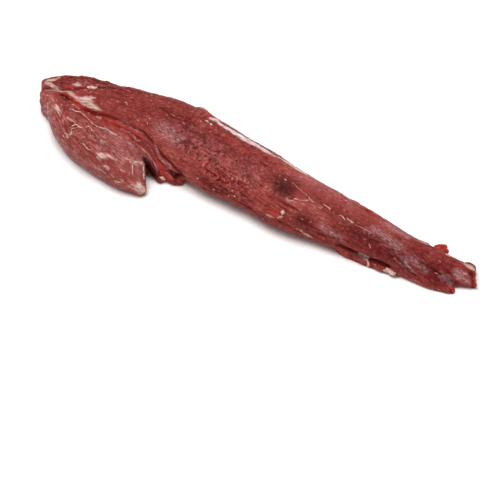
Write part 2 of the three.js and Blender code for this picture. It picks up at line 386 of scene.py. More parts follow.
# The seams and knobs.
# Where two muscles meet, where a sheath folded or the knife slipped, the meat is drawn in, and
# between them it stands out in knobs and strands. Each row is a height in millimetres, negative
# inwards, half its width, and its route over the meat. The last table is for the hidden underside,
# where clefts between the bundles join its seams.
SEAMS = [
    (-2.9, 2.1, [
        (-273, 14, 26), (-263, 16, 29), (-250, 12, 39), (-233, 13, 46), (-221, 17, 52),
        (-210, 20, 55), (-196, 22, 59), (-183, 27, 61), (-173, 29, 62), (-153, 36, 62),
        (-138, 41, 60)]),
    (-2.2, 1.3, [(-246, 3, 41), (-237, 1, 43), (-229, -3, 44), (-220, -8, 45)]),
    (-1.6, 2.0, [(-247, 34, 42), (-244, 38, 40)]),
    (-1.4, 2.0, [(-215, 42, 45), (-212, 46, 43)]),
    (-2.0, 1.3, [(-84, -22, 18), (-78, -21, 18), (-72, -21, 14), (-71, -21, 7)]),
    (-1.8, 1.1, [(196, -17, 26), (203, -18, 22), (210, -19, 19), (216, -19, 17)]),
    (-1.6, 1.1, [(205, -16, 25), (212, -18, 21), (220, -18, 17)]),
    (-1.0, 1.5, [(-197, 29, 56), (-185, 23, 62)]),
    (-2.4, 1.9, [
        (-211, -9, 47), (-192, -9, 46), (-172, -9, 49), (-156, -9, 50), (-145, -10, 50),
        (-133, -11, 50), (-120, -11, 51), (-108, -14, 46), (-102, -15, 44), (-95, -18, 37),
        (-89, -20, 33), (-77, -22, 29), (-66, -23, 22), (-59, -22, 16)]),
    (-1.2, 1.8, [
        (-235, -6, 43), (-215, -15, 47), (-199, -19, 47), (-184, -21, 47), (-167, -25, 46),
        (-149, -28, 44), (-135, -30, 43)]),
    (-2.6, 2.0, [
        (-135, -30, 43), (-123, -28, 39), (-116, -26, 34), (-109, -26, 28), (-107, -25, 23)]),
    (-1.2, 1.6, [
        (-203, -8, 46), (-183, -10, 48), (-164, -14, 45), (-149, -13, 45), (-132, -14, 45),
        (-120, -15, 42), (-109, -16, 39), (-103, -19, 32), (-96, -21, 25), (-89, -24, 15)]),
    (-1.6, 1.2, [(-118, 23, 64), (-113, 23, 63), (-106, 21, 63), (-99, 19, 61)]),
    (-2.0, 1.3, [(-56, 17, 58), (-54, 12, 57), (-49, 6, 56)]),
    (-1.4, 1.4, [(24, 11, 53), (37, 7, 53), (41, 4, 52)]),
    (-1.4, 1.5, [(29, -19, 44), (45, -21, 44), (59, -22, 43), (74, -22, 42), (84, -22, 41)]),
    (-1.8, 1.7, [
        (109, -27, 24), (120, -26, 23), (132, -25, 26), (144, -24, 27), (153, -23, 26),
        (164, -22, 24)]),
    (-4.2, (1.6, 2.6, 2.2, 2.9, 2.3, 1.5), [
        (137, -25, 17), (149, -24, 15), (158, -20, 14), (170, -22, 12), (184, -20, 13),
        (195, -21, 11)]),
    (-1.6, 1.2, [(152, -22, 7), (154, -22, 2)]),
    (-1.4, 1.3, [(176, -22, 8), (178, -22, 3)]),
    (-2.2, 1.5, [(233, 23, 22), (236, 28, 19), (239, 33, 14)]),
    (-1.2, 1.2, [(241, 22, 21), (246, 28, 16)]),
    (-1.6, 1.3, [(227, 33, 15), (233, 36, 13), (239, 35, 15), (242, 32, 12)]),
    (-1.4, 1.2, [(226, 31, 9), (231, 35, 8), (237, 35, 5)]),
    (-1.2, 1.1, [(232, 34, 18), (235, 36, 12)]),
    (-4.6, 2.0, [(277, 12, 16), (279, 12, 12), (281, 11, 3)]),
    (-2.0, 1.3, [(281, 7, 12), (284, 6, 4)]),
    (-2.4, 1.4, [(266, -11, 7), (266, -12, 2)]),
    (-1.4, 1.6, [(132, 18, 41), (149, 20, 38), (158, 15, 38)]),
    (-1.0, 1.3, [(158, -15, 36), (170, -15, 34), (178, -13, 33), (183, -13, 33)]),
    (-2.0, 1.4, [(208, -18, 23), (216, -19, 17), (222, -19, 14), (228, -17, 12)]),
    (-2.4, 1.7, [
        (227, -10, 26), (239, -9, 22), (246, -8, 19), (250, -8, 18), (259, -6, 12), (263, -4, 9)]),
    (-1.6, 1.6, [(250, 1, 23), (257, -2, 19), (262, -3, 14), (265, -2, 9)]),
    (-3.0, 3.0, [(-71, -20, 14), (-66, -22, 17)]),
]
KNOBS = [
    (1.8, 2.4, [(-218, -1, 45), (-213, -2, 46), (-209, -4, 47)]),
    (1.0, 1.8, [(-238, 8, 43), (-231, 6, 45), (-224, 2, 45), (-219, 1, 47)]),
    (0.7, 4.0, [(-208, 0, 51), (-199, -1, 52), (-190, -4, 52)]),
    (1.0, 3.5, [(-151, -57, 41), (-145, -58, 40), (-138, -56, 41)]),
    (2.4, 2.2, [(-78, -22, 11), (-75, -21, 10)]),
    (2.0, 4.0, [(-260, 29, 39), (-252, 32, 41)]),
    (1.8, 4.5, [(-236, 38, 43), (-224, 41, 44)]),
    (1.8, 1.8, [(-207, 46, 44), (-204, 46, 44)]),
    (2.0, 1.4, [(-169, 35, 62), (-167, 36, 62)]),
    (1.8, 4.2, [(-97, -54, 13), (-93, -50, 8)]),
    (1.4, 1.6, [(201, -18, 24), (209, -19, 20), (217, -19, 17)]),
    (1.6, 2.2, [(-103, -14, 46), (-99, -16, 40), (-96, -18, 34), (-91, -20, 29), (-80, -22, 22)]),
    (1.0, 1.7, [(-78, -16, 44), (-73, -19, 40), (-67, -21, 37), (-56, -21, 38)]),
    (1.0, 1.6, [(-83, -16, 42), (-78, -20, 36), (-72, -22, 31), (-58, -23, 32)]),
    (1.2, 1.6, [(-72, -8, 50), (-66, -13, 47), (-57, -16, 45)]),
    (2.9, 2.8, [(-90, 60, 45), (-79, 55, 49), (-66, 49, 52), (-57, 45, 53)]),
    (1.8, 2.8, [(142, -23, 8), (147, -23, 6)]),
    (1.4, 2.0, [(158, -22, 7), (166, -22, 5)]),
    (1.6, 2.6, [(183, -22, 6), (188, -22, 4)]),
    (1.2, 1.6, [(212, 16, 29), (217, 16, 28), (221, 21, 24)]),
    (1.6, 3.4, [(229, 26, 18), (232, 27, 19)]),
    (2.2, 4.0, [(238, 30, 18), (241, 31, 18)]),
]
UNDER_SEAMS = [
    (-5.5, (2.5, 5, 6, 2.5), [(-232, 0, 0), (-186, -8, 0), (-116, -12, 0), (-80, -4, 0)]),
    (-4.5, (2.5, 5, 4, 2.5), [(-56, 10, 0), (24, 2, 0), (124, -4, 0), (184, -5, 0)]),
    (-1.5, 2.5, [(-262, -2, 0), (-240, -14, 0), (-200, -28, 0), (-160, -30, 0), (-118, -27, 0)]),
    (-1.2, 2.0, [(-230, 30, 0), (-180, 38, 0), (-120, 40, 0), (-60, 34, 0)]),
]
CLEFT_DEPTH = 1.5
CLEFT_SPACING = (55, 13, 40)
UNDERSIDE = (0.7, 2, 0.3)  # the downward part of a normal there: from, to, and over what it fades
SAME_FACE = 6  # a route marks only the meat within this height of it, in millimetres

smooth_points = skin_points
smooth_normals = normals_of(skin.data)


def off_route(half, route):
    """How far each point of the smooth skin is from a route, measured along the meat, and half the
    route's width there: the least of the distances to the straight pieces of the route, from the
    foot of the perpendicular, without the share of the distance that stands on the surface."""
    route = np.array(route, float)
    half = np.broadcast_to(half, len(route)).astype(float)
    least = np.full(len(smooth_points), np.inf)
    width = np.ones(len(smooth_points))
    for start, end, start_half, end_half in zip(route[:-1], route[1:], half[:-1], half[1:]):
        run = end - start
        share = np.clip((smooth_points - start) @ run / (run @ run), 0, 1)
        gap = smooth_points - start - share[:, None] * run
        height = np.sum(gap * smooth_normals, axis=1)
        flat = np.sqrt(np.maximum(0, np.sum(gap * gap, axis=1) - height**2))
        distance = flat + 3 * np.maximum(0, np.abs(height) - SAME_FACE)
        nearer = distance < least
        least = np.where(nearer, distance, least)
        width = np.where(nearer, start_half + share * (end_half - start_half), width)
    return least, width


def soft(rows):
    """The sum of some soft-edged marks: strength * exp(-(distance / half width)^2)."""
    total = np.zeros(len(smooth_points))
    for strength, half, route in rows:
        distance, width = off_route(half, route)
        total += strength * np.exp(-((distance / width) ** 2))
    return total


drawn = soft(SEAMS) + soft(KNOBS)
is_under = window(-smooth_normals[:, 2], *UNDERSIDE)
from_cleft = 8 * noise(smooth_points / CLEFT_SPACING + 0.4, seed=15)
pressed_in = soft(UNDER_SEAMS)
pressed_in = pressed_in - CLEFT_DEPTH * is_under * np.exp(-(from_cleft**2))

# The relief of the meat.
# Broad lumps where the muscle sagged on the floor, furrows between the bundles of fibre, the
# strands of the seam band, the torn middle where the silverskin took some meat with it, and below
# it the long fibres that were laid bare. Heights and sizes are in millimetres.
BARE_ALONG, BARE_ROUND = (-84, 46, 26), (-66, 30, 22)  # from, to, and over what it fades
STRINGY_ALONG, STRINGY_ROUND = (-30, 105, 30), (-100, -34, 16)
OFF_FLOOR = (3, 1e3, 3)  # the heights where there is relief
BAND_QUIET = 0.25  # the seam band has this share of the lumps, furrows and dimples
LUMP_HEIGHT, LUMP_SIZE = 1.3, 34
DIMPLE_HEIGHT, DIMPLE_SIZE = 0.45, 4.5
STRAND_HEIGHT, STRAND_WIDTH = 0.75, 3.4
BEND_REACH, BEND_SIZE = 3.5, 10  # how the crags of the torn meat are bent
CRAG_SIZE = (8, 4.5, 5)
CRUMB_SIZE = (4, 2.6, 2.6)
RAGGED = [(1, 13, [(-72, 4, 55), (-52, -4, 53), (-30, -13, 47), (-8, -19, 44), (14, -21, 42)])]

degrees_round = np.degrees(turn)
is_band = (belongs == OUTER) | (belongs == INNER)
is_main = belongs == MAIN
is_bare = window(along, *BARE_ALONG) * window(degrees_round, *BARE_ROUND) * is_main
torn = is_bare * (0.45 + 0.55 * soft(RAGGED))
stringy = window(along, *STRINGY_ALONG) * window(degrees_round, *STRINGY_ROUND) * is_main
lumps = LUMP_HEIGHT * noise(smooth_points / LUMP_SIZE, seed=1)
furrows = 0.55 * grain_noise(60, 6.5, seed=2) + 0.45 * grain_noise(30, 3.2, seed=3)
dimples = DIMPLE_HEIGHT * noise(smooth_points / DIMPLE_SIZE, seed=10)
bends = [noise(smooth_points / BEND_SIZE, seed=seed) for seed in (4, 5, 6)]
bent = smooth_points + BEND_REACH * np.stack(bends, axis=-1)
steps = 2.4 * noise(bent / CRAG_SIZE, seed=7)
ledges = np.floor(steps) + window(steps - np.floor(steps), 0.78, 2, 0.25)
crumbs = 0.65 * ledges + 0.7 * noise(bent / CRUMB_SIZE, seed=8)
strings = 0.9 - 2.6 * np.abs(grain_noise(46, 3.4, seed=12)) + 0.6 * grain_noise(18, 5, seed=13)
strand_turn = 2 * np.pi * girth / STRAND_WIDTH + 2.5 * grain_noise(44, 9, seed=9)
strands = STRAND_HEIGHT * np.cos(strand_turn)
quiet = np.where(is_band, BAND_QUIET, 1.0)
fine = quiet * (furrows + dimples) + torn * crumbs + stringy * strings + is_band * strands
relief = (lumps * quiet + fine + drawn) * window(smooth_points[:, 2], *OFF_FLOOR)
skin_points = smooth_points + (relief + pressed_in)[:, None] * smooth_normals
skin_points[:, 2] = np.maximum(0, skin_points[:, 2])
move_points(skin.data, skin_points)
shade_smooth(skin.data)
skin_normals = normals_of(skin.data)

# The marks on the meat.
# Films of silverskin and tendon left on the muscle, fresh bright red cuts, marbling, dark bruises,
# and painted shade in the seams, slits, grooves and the gap at the side muscle's cut end, painted
# sheen where the clear wet sheath is still there, lighter or darker meat that is partly its own
# tone and partly painted light and shade, and silverskin whiter partly by its own colour and partly
# by painted reflection. A film is half its width and its route; every other mark has a strength
# first.
WEB_THINNESS = 15  # of the threads of the web of fat on the underside
WEB_SPACING = (30, 16, 40)
WEB_BREAK_SPACING = 26
NO_FILM = 6.0  # the distance kept where no film is near
FILMS = [
    ((1.0, 1.6, 1.0), [(-275, 22, 35), (-268, 24, 37), (-260, 28, 40)]),
    ((1.4, 2.2, 3.4, 1.4), [(-275, 20, 33), (-268, 20, 34), (-262, 18, 31), (-250, 11, 39)]),
    ((1.4, 2.0, 1.4), [(-273, 14, 26), (-263, 16, 29), (-250, 11, 39)]),
    ((1.2, 1.9, 2.3, 1.9, 1.6, 2.2), [
        (-247, 10, 40), (-239, 11, 44), (-236, 11, 45), (-231, 8, 46), (-222, 3, 48),
        (-215, 1, 49)]),
    ((2, 4.5, 5, 3.5, 0.8), [
        (-215, 1, 49), (-206, 0, 51), (-199, -1, 52), (-192, -4, 52), (-179, -6, 53)]),
    ((2, 2.2, 0.8), [(-207, 3, 53), (-199, 3, 56), (-194, 4, 57)]),
    ((0.8, 2.2, 1.5, 0.4), [(-236, -16, 44), (-231, -19, 46), (-225, -23, 46), (-219, -27, 47)]),
    (0.9, [(-208, -32, 49), (-199, -34, 50)]),
    ((1.2, 3.2, 2.6, 1), [(-151, -57, 41), (-147, -58, 40), (-141, -57, 41), (-137, -55, 42)]),
    ((1, 1.2, 0.5), [(-138, -55, 43), (-133, -55, 42), (-126, -55, 41)]),
    (0.9, [(-150, -61, 38), (-145, -62, 37)]),
    ((2.6, 3.4, 2.8), [(-99, -55, 17), (-96, -54, 12), (-95, -54, 8)]),
    ((1.2, 2.2, 1.9, 1.2), [(-114, -46, 38), (-109, -42, 34), (-106, -37, 31), (-107, -30, 26)]),
    ((1.2, 2.0, 2.2, 1.2), [(-107, -30, 26), (-103, -36, 26), (-100, -40, 22), (-98, -44, 18)]),
    (1.1, [(-103, -60, 19), (-98, -56, 15), (-94, -54, 10)]),
    (0.9, [(-107, -62, 16), (-100, -60, 14), (-95, -57, 9)]),
    (0.7, [(-183, -11, 46), (-177, -11, 46)]),
    (0.7, [(-153, -63, 23), (-141, -65, 24), (-136, -66, 23)]),
    (0.9, [(-138, -64, 32), (-134, -63, 33), (-131, -64, 32), (-134, -64, 30)]),
    (0.8, [(-122, -66, 18), (-114, -65, 20), (-113, -64, 22), (-115, -65, 24)]),
    (1.1, [(-128, -66, 25), (-125, -66, 24)]),
    (0.6, [(-117, -60, 35), (-113, -59, 33)]),
    ((1.4, 3.8, 3.2, 1.4), [(265, 19, 18), (270, 20, 17), (275, 20, 15), (277, 19, 14)]),
    ((0.5, 1.3, 0.5), [(213, 15, 30), (218, 15, 28.5), (223, 16, 27)]),
    ((0.8, 1.6, 1.6), [(160, -21, 13), (165, -21, 12), (169, -21, 11)]),
    ((0.6, 1.5, 0.8), [(52, -32, 27), (57, -32, 27), (61, -32, 27)]),
    (0.6, [(67, -31, 30), (69, -30.5, 31), (71, -30, 32)]),
    ((0.6, 1.2, 1.6, 2.2, 0.8), [
        (86, -30, 22), (93, -29, 22), (97, -28, 18), (102, -27, 16), (106, -26, 15)]),
    ((1.0, 1.8, 3.0, 3.6, 4.2, 3.6, 3.8, 2.4, 0.8), [
        (-66, 44, 53), (-57, 44, 52), (-44, 43, 52), (-29, 41, 51), (-16, 39, 50), (-3, 38, 49),
        (10, 35, 49), (20, 34, 48), (26, 33, 47)]),
    ((0.8, 1.9, 0.8), [(-239, 27, 41), (-235, 28, 42), (-231, 28, 42)]),
    ((1.4, 2.6, 3.2, 1.4), [(28, 35, 45), (41, 35, 44), (53, 34, 43), (68, 31, 43)]),
    ((0.8, 1.6, 0.8), [(-88, 58, 47), (-82, 57, 48), (-76, 55, 49)]),
    # the hidden far side
    ((0.8, 2.2, 2.8, 1.6, 0.6), [
        (-140, 59, 22), (-118, 61, 19), (-96, 62, 20), (-74, 60, 24), (-62, 60, 28)]),
    ((0.6, 1.6, 2.4, 1.2), [(-30, 56, 18), (-8, 52, 15), (14, 48, 14), (34, 44, 16)]),
    ((0.6, 1.8, 0.6), [(96, 36, 24), (112, 34, 22), (130, 32, 21)]),
    ((0.5, 1.1, 0.5), [(168, 27, 20), (176, 26, 19), (184, 25, 18)]),
    ((0.6, 1.4, 0.8), [(-236, 48, 30), (-220, 52, 28), (-206, 53, 27)]),
    # the hidden underside
    ((1, 4, 2.5, 5, 1), [
        (-222, -3, 0), (-206, -8, 0), (-186, -8, 0), (-164, -14, 0), (-140, -10, 0)]),
    ((1, 5, 3, 1), [(-136, 16, 0), (-126, 23, 0), (-112, 20, 0), (-100, 26, 0)]),
    ((1, 3, 1.6, 4, 1), [(-50, 14, 0), (-34, 7, 0), (-10, 9, 0), (8, 3, 0), (24, 6, 0)]),
    ((0.8, 2.6, 1.6), [(-190, -40, 0), (-176, -48, 0), (-160, -50, 0)]),
]
# Silverskin rather than tendon: grey to white, the white partly its own colour and partly painted
# reflection.
SILVER_AND_REFLECTION = [
    (1.0, 9, [(-66, 44, 53), (-44, 44, 51), (-16, 40, 49), (10, 36, 48), (26, 34, 47)]),
    (0.9, 5, [(30, 36, 45), (53, 35, 41), (66, 32, 42)]),
    (0.5, 2.5, [(160, -21, 13), (169, -21, 11)]),
    (0.7, 3, [(-239, 27, 41), (-235, 28, 42), (-231, 28, 42)]),
]
BRIGHT = [
    (0.45, 3.4, [
        (-200, -7, 49), (-172, -10, 49), (-149, -12, 47), (-132, -13, 47), (-118, -13, 45)]),
    (0.4, 2.5, [(-104, -16, 40), (-96, -19, 32), (-90, -22, 22)]),
    (0.65, 1.6, [(-238, 8, 43), (-231, 6, 45), (-224, 2, 45), (-219, 1, 47)]),
    (0.9, 1.8, [(-208, 46, 44), (-203, 46, 44)]),
    (0.7, 1.3, [(-169, 35, 62), (-167, 36, 62)]),
    (0.8, 1.8, [(-78, -22, 11), (-75, -21, 10)]),
    (0.9, 2.6, [(-218, -1, 45), (-213, -2, 46), (-209, -4, 47)]),
    (1.0, 1.3, [(-248, 22, 38), (-237, 24, 41), (-219, 20, 52)]),
    (1.0, 1.4, [(-140, -55, 43), (-138, -55, 43)]),
    (1.0, 1.7, [(-95, -46, 15), (-93, -48, 12), (-91, -51, 9), (-91, -54, 5)]),
    (0.7, 2.6, [(-91, -21, 21), (-87, -23, 15), (-82, -23, 11)]),
    (0.6, 3.0, [(57, -31, 32), (64, -30, 34), (66, -30, 33)]),
    (0.8, 1.6, [(115, 17, 45), (122, 15, 44)]),
    (0.7, 1.8, [(153, 19, 38), (158, 15, 38)]),
    (0.5, 2.5, [(136, -23, 11), (144, -22, 8)]),
    (0.6, 1.5, [(175, -21, 8), (182, -21, 9)]),
    (0.6, 7.0, [(231, 27, 18), (240, 32, 19)]),
    (0.7, 2.5, [(263, 18, 19), (267, 20, 17)]),
    (0.7, 2.0, [(281, 9, 13), (284, 8, 9), (284, 7, 4)]),
    (0.6, 1.8, [(263, -10, 7), (266, -10, 5)]),
    (0.6, 2.2, [(-88, 60, 45), (-79, 56, 48), (-66, 50, 51)]),
    (0.7, 2.0, [(-150, 30, 0), (-140, 32, 0)]),
    (0.7, 1.8, [(40, 12, 0), (52, 13, 0)]),
]
# Dark marks: bruises, which are the meat's own colour, and painted shade along seams, slits and the
# chain groove, with near-black painted shade in the gap at the side muscle's cut end.
BRUISES_AND_SHADE = [
    (0.7, 1.3, [(-118, 23, 64), (-113, 23, 63), (-106, 21, 63), (-99, 19, 61)]),
    (0.5, 5.0, [(-92, 25, 60), (-90, 25, 60)]),
    (0.45, 6.0, [(-106, 11, 62), (-104, 11, 62)]),
    (0.8, 1.5, [(-56, 17, 58), (-54, 12, 57), (-49, 6, 56)]),
    (0.7, 12, [(47, 2, 51), (54, 2, 51), (63, 5, 49)]),
    (0.55, 1.4, [
        (-263, 18, 31), (-250, 14, 39), (-233, 15, 46), (-221, 19, 52), (-210, 22, 55),
        (-196, 24, 59), (-183, 29, 61), (-173, 31, 62), (-153, 38, 62)]),
    (0.8, 1.3, [(-246, 3, 41), (-237, 1, 43), (-229, -3, 44), (-220, -8, 45)]),
    (0.7, 1.1, [(-84, -22, 18), (-78, -21, 18), (-72, -21, 14), (-71, -21, 7)]),
    (1.1, 9, [(56, -9, 48), (64, -10, 48)]),
    (0.9, 8, [(91, -26, 35), (98, -26, 33)]),
    (0.3, 15, [(100, -10, 46), (150, -8, 40), (190, -10, 32)]),
    (1.0, 3.8, [
        (137, -25, 18), (149, -23, 15), (160, -21, 13), (172, -21, 12), (184, -21, 12),
        (195, -20, 12)]),
    (2.2, 5.5, [(-108, -25, 21), (-101, -26, 15), (-97, -27, 11)]),
    (0.8, 3.5, [(-71, -20, 14), (-66, -22, 17)]),
    (0.8, 2.2, [
        (-120, -11, 51), (-108, -14, 46), (-102, -15, 44), (-95, -18, 37), (-89, -20, 33),
        (-77, -22, 29), (-66, -23, 22)]),
]
# Painted sheen: a cool pale highlight painted along the fibres where the clear wet sheath is still
# there, and along the strands of the seam band.
PAINTED_SHEEN = [
    (1.0, 0.8, [
        (-149, -13, 45), (-143, -13, 45), (-132, -14, 45), (-125, -16, 40), (-118, -15, 43),
        (-109, -16, 39), (-103, -18, 33)]),
    (1.0, 0.8, [
        (-169, -23, 45), (-159, -21, 44), (-151, -22, 42), (-140, -22, 40), (-132, -22, 38),
        (-126, -24, 37), (-116, -26, 34), (-110, -24, 30), (-105, -24, 26)]),
    (1.0, 0.8, [(-120, -20, 37), (-109, -21, 33), (-100, -23, 27), (-94, -24, 22), (-92, -26, 18)]),
    (1.0, 0.9, [
        (-103, -14, 46), (-99, -16, 40), (-96, -18, 34), (-91, -20, 29), (-80, -22, 27),
        (-73, -21, 17)]),
    (1.0, 0.8, [(-156, -9, 50), (-145, -9, 51), (-133, -11, 50), (-122, -12, 50)]),
    (0.55, 9, [(-100, 0, 57), (-92, -1, 55), (-83, -3, 53)]),
    (0.1, 15, [(-64, 6, 55), (-20, -4, 53), (20, -4, 51)]),
    (0.8, 3.8, [(174, 13, 36), (186, 12, 34), (200, 11, 31)]),
    (0.6, 5.5, [(168, -2, 38), (184, -4, 35), (199, -7, 32)]),
    (0.5, 4, [(214, -13, 28), (224, -12, 25), (234, -13, 20)]),
    (1.0, 2.2, [(208, -15, 25), (215, -17, 21), (221, -18, 17)]),
    (0.7, 0.8, [(200, -18, 25), (208, -19, 21), (214, -19, 18)]),
    (0.3, 12, [(-60, 58, 36), (-20, 52, 34)]),
    (0.3, 9, [(60, 40, 28), (110, 34, 26)]),
    (0.3, 9, [(-190, 54, 34), (-160, 56, 34)]),
    (0.8, 3.5, [(253, -7, 16), (257, -6, 14), (261, -5, 10)]),
    (0.9, 3, [(262, 5, 19), (268, 7, 17), (271, 7, 16)]),
    (0.9, 2.4, [(263, 1, 17), (271, 3, 13), (278, 5, 10)]),
    (0.5, 5, [(116, -23, 34), (124, -24, 30)]),
    (0.5, 4, [(129, -24, 30), (139, -24, 28)]),
    (0.5, 2.0, [(68, -16, 47), (71, -18, 46), (77, -16, 46)]),
    (0.5, 1.4, [(160, -21, 11), (170, -21, 8)]),
    (0.25, 9, [(66, 20, 49), (100, 18, 47), (130, 14, 43)]),
    (0.3, 12, [(-150, -40, 48), (-125, -45, 43)]),
    (0.35, 5, [(-162, -24, 46), (-140, -26, 43), (-120, -28, 38)]),
    (0.3, 10, [(-108, -42, 33), (-100, -46, 22)]),
]
MARBLED = [
    (0.75, 17, [
        (-258, -4, 38), (-230, -20, 46), (-190, -38, 48), (-150, -46, 44), (-112, -46, 36)]),
    (0.6, 16, [
        (-262, -16, 26), (-235, -38, 33), (-190, -62, 30), (-150, -66, 24), (-110, -60, 14)]),
    (0.7, 9, [(-278, -2, 30), (-276, 8, 28), (-276, 20, 26)]),
    (0.5, 6, [(-240, 30, 38), (-200, 30, 52)]),
    (0.7, 26, [(-240, -6, 0), (-180, -12, 0), (-100, 0, 0), (-20, 4, 0), (60, 4, 0)]),
]
# Lighter and darker meat: partly the meat's own tone, and partly painted light and shade. The far
# side of the middle and tail is painted lighter, and the near side, the tail's near flank and the
# far strip behind the head are painted darker.
TONES_LIGHT_AND_SHADE = [
    (-0.08, 24, [(-190, -45, 45), (-150, -50, 42)]),
    (-0.1, 36, [(-200, 15, 56), (-160, 15, 60), (-110, 20, 62)]),
    (-0.11, 24, [(-70, 10, 56), (0, 5, 52)]),
    (-0.18, 10, [(-262, 30, 37), (-235, 36, 42), (-205, 42, 46), (-170, 48, 44)]),
    (0.08, 12, [(110, 4, 44), (150, 4, 40), (176, 6, 37)]),
    (0.1, 9, [(84, -14, 45), (110, -16, 42)]),
    (0.1, 9, [(50, 17, 50), (62, 18, 48), (74, 20, 47)]),
    (0.09, 8, [(124, -17, 40), (132, -18, 38), (141, -19, 35)]),
    (-0.1, 16, [(-30, -26, 28), (60, -30, 25), (120, -25, 22)]),
    (-0.08, 34, [(110, 0, 40), (160, 0, 38), (215, 0, 28), (262, 10, 16)]),
    (-0.14, 14, [(140, -16, 36), (200, -16, 24), (250, -10, 16)]),
    (0.08, 12, [(30, 32, 44), (120, 26, 38), (200, 20, 28)]),
]


def outside(rows, fray):
    """How many millimetres each point is outside the nearest of some patches, negative inside. A
    patch is wider or narrower from point to point by the share that fray says."""
    least = np.full(len(smooth_points), NO_FILM)
    for half, route in rows:
        distance, width = off_route(half, route)
        least = np.minimum(least, distance - width * (1 + fray))
    return least


fray = 0.5 * grain_noise(15, 2.8, seed=14)
films = outside(FILMS, fray)
web = WEB_THINNESS * np.abs(noise(smooth_points / WEB_SPACING + 0.3, seed=16))
web = web - 3 * noise(smooth_points / WEB_BREAK_SPACING + 0.5, seed=17)
films = np.minimum(films, web + NO_FILM * (1 - is_under))


# The colour of the meat.
# Raw beef, bared by a knife and by tearing: clear wet muscle juice over red fibre, so light goes in
# a few millimetres and comes out redder, and the fibre breaks up the soft wet highlights.
def keep_on_points(mesh, name, values):
    """Stores one number, or one place, for each point of a mesh, for its material to read."""
    kind, field = ("FLOAT", "value") if values.ndim == 1 else ("FLOAT_VECTOR", "vector")
    attribute = mesh.attributes.new(name, kind, "POINT")
    attribute.data.foreach_set(field, values.astype(np.float32).ravel())


def linear(hex_colour):
    """A colour given as sRGB hex, as the linear colour that a shader takes."""
    srgb = np.array([int(hex_colour[k:k + 2], 16) for k in (1, 3, 5)]) / 255
    value = np.where(srgb <= 0.04045, srgb / 12.92, ((srgb + 0.055) / 1.055) ** 2.4)
    return (*value, 1.0)


def node(tree, kind, inputs={}, output=None, stops=(), **settings):
    """Adds a node with its settings, fills its inputs with values or other nodes' outputs and its
    colour ramp with stops, and gives one of its outputs."""
    made = tree.nodes.new(kind)
    for name, value in settings.items():
        setattr(made, name, value)
    for position, _ in stops[2:]:
        made.color_ramp.elements.new(position)
    for element, (position, colour) in zip(made.color_ramp.elements if stops else (), stops):
        element.position = position
        element.color = linear(colour)
    for socket, value in inputs.items():
        if isinstance(value, bpy.types.NodeSocket):
            tree.links.new(value, made.inputs[socket])
        else:
            made.inputs[socket].default_value = value
    if output:
        return made.outputs[output]
    return next((socket for socket in made.outputs if socket.enabled), None)


def new_material(name):
    """An empty material, and the tree that its nodes go into."""
    material = bpy.data.materials.new(name)
    material.use_nodes = True
    material.node_tree.nodes.clear()
    return material, material.node_tree


MARKS = {
    "grain": np.stack([along, girth + LEAN * along, APART * belongs], axis=-1),
    # the fine relief, which the shader turns into painted shade in hollows and painted light on
    # crests
    "height": fine + 0.5 * drawn,
    "film": films,
    "silver": np.clip(soft(SILVER_AND_REFLECTION), 0, 1),
    "bright": np.clip(soft(BRIGHT), 0, 1),
    "deep": soft(BRUISES_AND_SHADE),
    "haze": np.clip(soft(PAINTED_SHEEN), 0, 1),
    "marbled": np.clip(soft(MARBLED), 0, 1),
    "tone": soft(TONES_LIGHT_AND_SHADE),
    "torn": torn,
}
for name, values in MARKS.items():
    keep_on_points(skin.data, name, values)

raw_beef, tree = new_material("raw_beef")
ATTRIBUTE, MATH, MIX, RANGE, RAMP, NOISE, LINES, PLACE, BUMP, SHADER, OUTPUT = (
    "ShaderNodeAttribute", "ShaderNodeMath", "ShaderNodeMix", "ShaderNodeMapRange",
    "ShaderNodeValToRGB", "ShaderNodeTexNoise", "ShaderNodeMapping", "ShaderNodeTexCoord",
    "ShaderNodeBump", "ShaderNodeBsdfPrincipled", "ShaderNodeOutputMaterial")
grain = node(tree, ATTRIBUTE, output="Vector", attribute_name="grain")
mark = {
    name: node(tree, ATTRIBUTE, output="Fac", attribute_name=name)
    for name in MARKS if name != "grain"
}
place = node(tree, PLACE, output="Object")

# Bundles of fibre are streaks 18 mm long and 2 mm wide, and fibres 4.5 mm by 1.2 mm, coarser than
# real ones so that they show. They and the veins of marbling run with the muscle. Mottle of 12 mm,
# grit of 2 mm and the pits of the torn meat, 3 mm, run no way.
streak_lines = node(tree, LINES, {"Vector": grain, "Scale": (1 / 18, 1 / 2.0, 1)})
streaks = node(tree, NOISE, {
    "Vector": streak_lines, "Scale": 1.0, "Detail": 4.0, "Roughness": 0.65})
fibre_lines = node(tree, LINES, {"Vector": grain, "Scale": (1 / 4.5, 1 / 1.2, 1)})
fibres = node(tree, NOISE, {
    "Vector": fibre_lines, "Scale": 1.0, "Detail": 3.0, "Roughness": 0.6})
vein_lines = node(tree, LINES, {"Vector": grain, "Scale": (1 / 15, 1 / 4, 1)})
veins = node(tree, NOISE, {
    "Vector": vein_lines, "Scale": 1.0, "Detail": 3.0, "Distortion": 0.7})
mottle = node(tree, NOISE, {"Vector": place, "Scale": 1 / 0.012, "Detail": 2.0})
grit = node(tree, NOISE, {
    "Vector": place, "Scale": 1 / 0.0022, "Detail": 3.0, "Roughness": 0.6})
crumb = node(tree, NOISE, {
    "Vector": place, "Scale": 1 / 0.003, "Detail": 2.0, "Distortion": 0.8})
pits = node(tree, MATH, {0: crumb, 1: 0.5}, operation="SUBTRACT")
pits = node(tree, MATH, {0: pits, 1: mark["torn"]}, operation="MULTIPLY")

